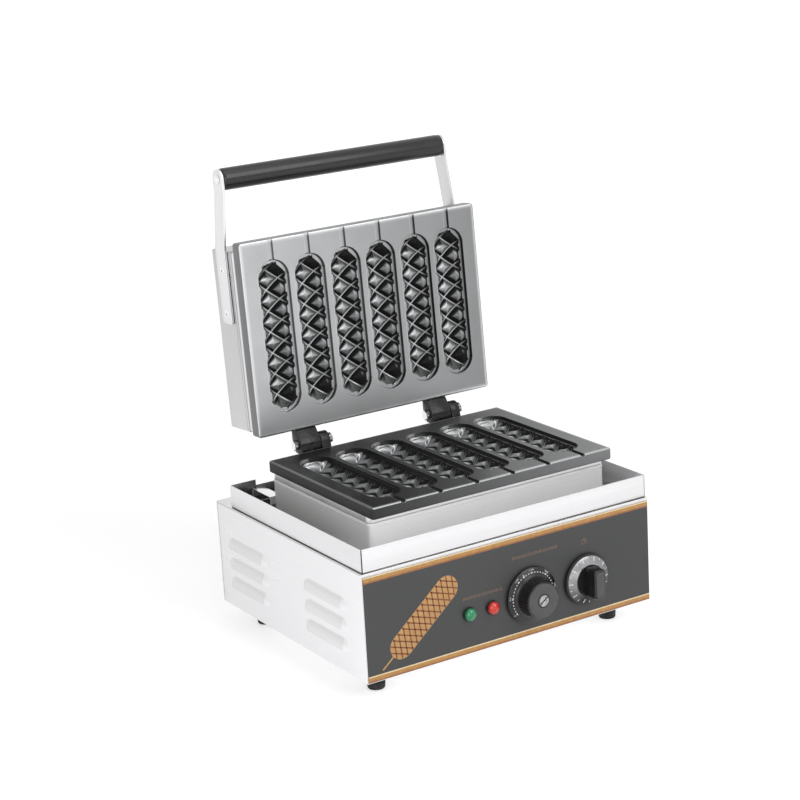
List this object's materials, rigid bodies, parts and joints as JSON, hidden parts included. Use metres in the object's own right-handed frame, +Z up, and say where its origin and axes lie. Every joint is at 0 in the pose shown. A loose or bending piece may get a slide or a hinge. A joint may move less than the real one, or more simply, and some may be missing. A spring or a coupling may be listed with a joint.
{
  "type": "hot dog waffle maker",
  "caption": "Countertop waffle iron for hot dogs on sticks: steel casing with a control panel, drip channel and lattice mould plates, and a back-hinged lid with a bar handle.",
  "frame": {"origin": "middle of the bounding box's underside, on the counter between the feet", "axes": "+Z up, +Y from the control panel to the back, +X to the right seen from the front"},
  "size_m": [0.41, 0.4028, 0.5593],
  "materials": {
    "stainless": "brushed stainless steel sheet",
    "bright_steel": "polished and plated steel",
    "mould_coating": "cast aluminium with a dark grey non-stick coating",
    "element_sheath": "dark oxidised steel sheath",
    "hinge_iron": "dark cast iron",
    "black_plastic": "black moulded heatproof plastic",
    "black_rubber": "black rubber",
    "panel_film": "dark grey printed film",
    "dial_silver": "spun satin aluminium",
    "green_lens": "clear green plastic",
    "red_lens": "clear red plastic",
    "ceramic_fibre": "white ceramic fibre blanket",
    "cream_plastic": "cream moulded plastic"
  },
  "bodies": {
    "casing": {"left_side_panel": "stainless", "right_side_panel": "stainless", "front_panel": "stainless", "control_film": "panel_film", "back_panel": "stainless", "bottom_pan": "stainless", "deck": "stainless", "tray_rim": "stainless", "left_stay": "bright_steel", "right_stay": "bright_steel", "lower_heater_case": "stainless", "lower_carrier_frame": "stainless", "lower_mould_plate": "mould_coating", "lower_heating_element": "element_sheath", "lower_element_clamp": "stainless", "lower_insulation": "ceramic_fibre", "thermostat": "cream_plastic", "timer_clockwork": "bright_steel", "power_light_body": "black_plastic", "power_light_lens": "green_lens", "heat_light_body": "black_plastic", "heat_light_lens": "red_lens", "terminal_block": "cream_plastic", "supply_gland": "black_plastic", "deck_grommet": "black_rubber", "front_left_foot": "black_rubber", "back_left_foot": "black_rubber", "front_right_foot": "black_rubber", "back_right_foot": "black_rubber", "left_hinge_base_leaf": "hinge_iron", "left_hinge_pin": "bright_steel", "left_hinge_nut": "bright_steel", "right_hinge_base_leaf": "hinge_iron", "right_hinge_pin": "bright_steel", "right_hinge_nut": "bright_steel"},
    "lid": {"upper_mould_plate": "mould_coating", "upper_carrier_frame": "stainless", "upper_heater_case": "stainless", "upper_heating_element": "element_sheath", "upper_element_clamp": "stainless", "upper_insulation": "ceramic_fibre", "lid_grommet": "black_rubber", "handle_grip": "black_plastic", "handle_rod": "bright_steel", "left_hinge_lid_leaf": "hinge_iron", "left_handle_arm": "stainless", "left_lower_arm_screw": "bright_steel", "left_upper_arm_screw": "bright_steel", "right_hinge_lid_leaf": "hinge_iron", "right_handle_arm": "stainless", "right_lower_arm_screw": "bright_steel", "right_upper_arm_screw": "bright_steel"},
    "temperature_control": {"temperature_knob": "black_plastic", "temperature_cap": "bright_steel", "temperature_shaft": "bright_steel"},
    "timer_control": {"timer_knob": "black_plastic", "timer_dial": "dial_silver", "timer_shaft": "bright_steel"}
  },
  "joints": [
    {"name": "lid_hinge", "type": "hinge", "parent": "casing", "child": "lid", "pos_m": [0, 0.10762, 0.223], "axis": [1, 0, 0], "range_deg": [0, 94]},
    {"name": "temperature_turn", "type": "hinge", "parent": "casing", "child": "temperature_control", "pos_m": [0.024, -0.17, 0.077], "axis": [0, 1, 0], "range_deg": [0, 290]},
    {"name": "timer_turn", "type": "hinge", "parent": "casing", "child": "timer_control", "pos_m": [0.104, -0.17, 0.077], "axis": [0, 1, 0], "range_deg": [0, 300]}
  ]
}
